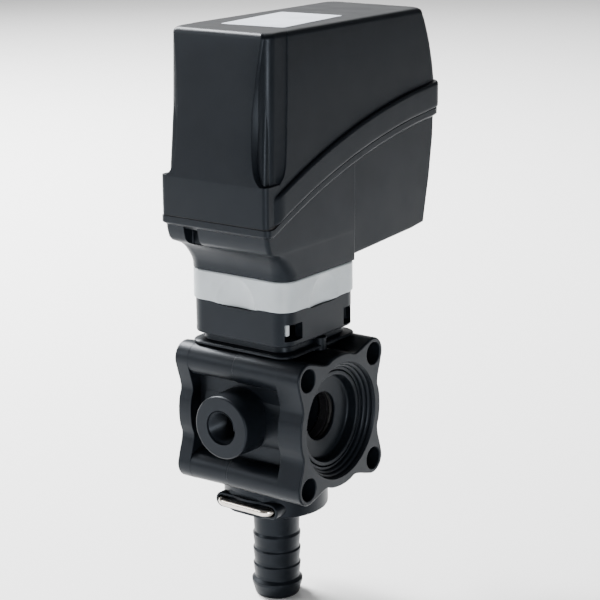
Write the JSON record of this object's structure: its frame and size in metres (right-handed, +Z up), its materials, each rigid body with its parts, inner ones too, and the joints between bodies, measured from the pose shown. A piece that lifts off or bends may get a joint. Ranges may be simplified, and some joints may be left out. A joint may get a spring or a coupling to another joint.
{
  "type": "diverter valve",
  "caption": "Motor-driven three-way diverter ball valve with flanged manifold ends, gauge port, forked hose tail and electric actuator head.",
  "frame": {"origin": "crossing of the manifold flow axis and the valve stem axis, at the centre of the ball", "axes": "+X along the manifold flow axis towards the socketed face; +Z up the valve stem to the actuator head; -Y towards the gauge port, +Y along the head"},
  "size_m": [0.0606, 0.1197, 0.2334],
  "materials": {
    "black_plastic": "moulded glass-filled polyamide, fine satin grain",
    "grey_plastic": "moulded acetal, satin",
    "white_plastic": "moulded acetal, satin",
    "seat_plastic": "turned carbon-filled PTFE, smooth and nearly black",
    "rubber": "moulded nitrile, matt",
    "stainless": "drawn stainless steel",
    "steel": "zinc-plated steel",
    "bronze": "sintered bronze or brass",
    "board": "lacquered glass-epoxy board",
    "label": "blank printed film"
  },
  "bodies": {
    "housing": {"valve_body": "black_plastic", "seat_retainer_right": "black_plastic", "seat_retainer_left": "black_plastic", "bonnet_plate": "black_plastic", "mounting_base": "black_plastic", "lower_housing": "black_plastic", "cover": "black_plastic", "limit_switch_left": "black_plastic", "limit_switch_right": "black_plastic", "cable_socket": "black_plastic", "lock_ring": "grey_plastic", "seat_ring_right": "seat_plastic", "seat_ring_left": "seat_plastic", "seat_ring_bottom": "seat_plastic", "thrust_washer": "seat_plastic", "seat_o_ring_right": "rubber", "seat_o_ring_left": "rubber", "seat_o_ring_bottom": "rubber", "shaft_seal": "rubber", "housing_gasket": "rubber", "bonnet_screw_1": "stainless", "bonnet_screw_2": "stainless", "bonnet_screw_3": "stainless", "bonnet_screw_4": "stainless", "cover_screw_left": "stainless", "cover_screw_right": "stainless", "gear_plate": "steel", "deck_screw_1": "steel", "deck_screw_2": "steel", "deck_screw_3": "steel", "deck_screw_4": "steel", "motor_screw_1": "steel", "motor_screw_2": "steel", "motor_can": "steel", "reduction_axle": "steel", "axle_clip": "steel", "shaft_bush_lower": "bronze", "shaft_bush_upper": "bronze", "socket_pin_1": "bronze", "socket_pin_2": "bronze", "socket_pin_3": "bronze", "socket_pin_4": "bronze", "circuit_board": "board", "label_plate": "label"},
    "valve_core": {"ball": "black_plastic", "stem": "stainless", "stem_o_ring_lower": "rubber", "stem_o_ring_upper": "rubber", "drive_shaft": "stainless", "output_gear": "white_plastic", "switch_cam": "black_plastic"},
    "reduction": {"reduction_gear": "white_plastic"},
    "motor_rotor": {"motor_shaft": "steel", "motor_pinion": "steel"},
    "clip": {"fork_clip": "stainless"},
    "tail": {"hose_tail": "black_plastic", "hose_tail_o_ring": "rubber"},
    "plunger_left": {"switch_plunger_left": "white_plastic"},
    "plunger_right": {"switch_plunger_right": "white_plastic"}
  },
  "joints": [
    {"name": "valve_turn", "type": "hinge", "parent": "housing", "child": "valve_core", "pos_m": [0, 0, 0], "axis": [0, 0, 1], "range_deg": [0, 180]},
    {"name": "reduction_spin", "type": "hinge", "parent": "housing", "child": "reduction", "pos_m": [0, 0.027, 0], "axis": [0, 0, 1], "range_deg": [-520, 5]},
    {"name": "motor_spin", "type": "hinge", "parent": "housing", "child": "motor_rotor", "pos_m": [0, 0.0502, 0], "axis": [0, 0, 1], "range_deg": [-5, 1622]},
    {"name": "clip_pull", "type": "slide", "parent": "housing", "child": "clip", "axis": [0, -1, 0], "range_m": [0, 0.042]},
    {"name": "tail_swivel", "type": "hinge", "parent": "housing", "child": "tail", "pos_m": [0, 0, -0.0365], "axis": [0, 0, 1], "continuous": true},
    {"name": "left_plunger_press", "type": "slide", "parent": "housing", "child": "plunger_left", "axis": [-1, 0, 0], "range_m": [0, 0.0008], "stiffness_N_per_m": 60},
    {"name": "right_plunger_press", "type": "slide", "parent": "housing", "child": "plunger_right", "axis": [1, 0, 0], "range_m": [0, 0.0008], "stiffness_N_per_m": 60}
  ],
  "couplings": [
    {"joint": "reduction_spin", "follows": "valve_turn", "ratio": -2.8571},
    {"joint": "motor_spin", "follows": "valve_turn", "ratio": 8.9796}
  ]
}
